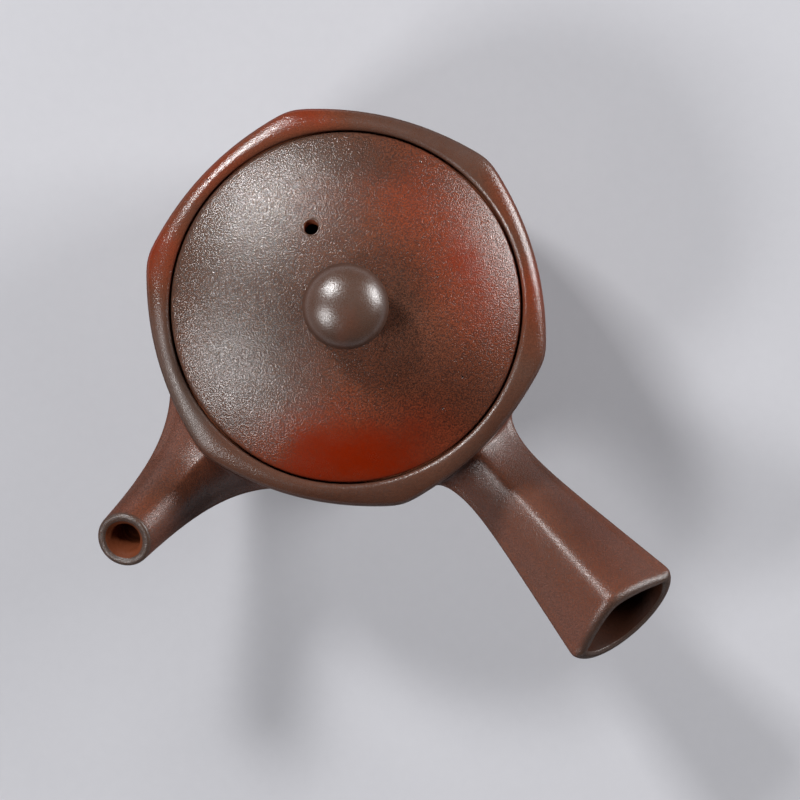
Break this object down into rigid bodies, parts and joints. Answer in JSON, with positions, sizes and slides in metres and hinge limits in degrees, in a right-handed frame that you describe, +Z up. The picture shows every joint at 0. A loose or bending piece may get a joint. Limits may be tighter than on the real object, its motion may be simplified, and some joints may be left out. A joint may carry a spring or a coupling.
{
  "type": "side-handled teapot",
  "caption": "Six-sided clay side-handled teapot with a corner spout, a hollow handle, a pierced strainer and a domed lift-off lid with a ball knob.",
  "frame": {"origin": "centre of the flat base, on the pot's upright axis", "axes": "+Z up along the axis of the round mouth, -Y towards the spout, +X towards the handle"},
  "size_m": [0.154, 0.1341, 0.091],
  "materials": {
    "body_clay": "unglazed satin clay, smoke-marked from brick red to grey-brown",
    "spout_clay": "unglazed satin clay, brown",
    "handle_clay": "unglazed satin clay, brown, darker round the open end",
    "strainer_clay": "matt unglazed red clay, pierced",
    "lid_clay": "unglazed clay with a fine grain, smoke-marked from brick red to grey-brown",
    "flange_clay": "matt unglazed red clay",
    "knob_clay": "smooth satin grey-brown clay"
  },
  "bodies": {
    "pot": {"pot_body": "body_clay", "spout": "spout_clay", "handle": "handle_clay", "tea_strainer": "strainer_clay"},
    "lid": {"lid_dome": "lid_clay", "lid_flange": "flange_clay", "lid_knob": "knob_clay"}
  },
  "joints": [
    {"name": "lid_lift", "type": "slide", "parent": "pot", "child": "lid", "axis": [0, 0, 1], "range_m": [0, 0.06]}
  ]
}
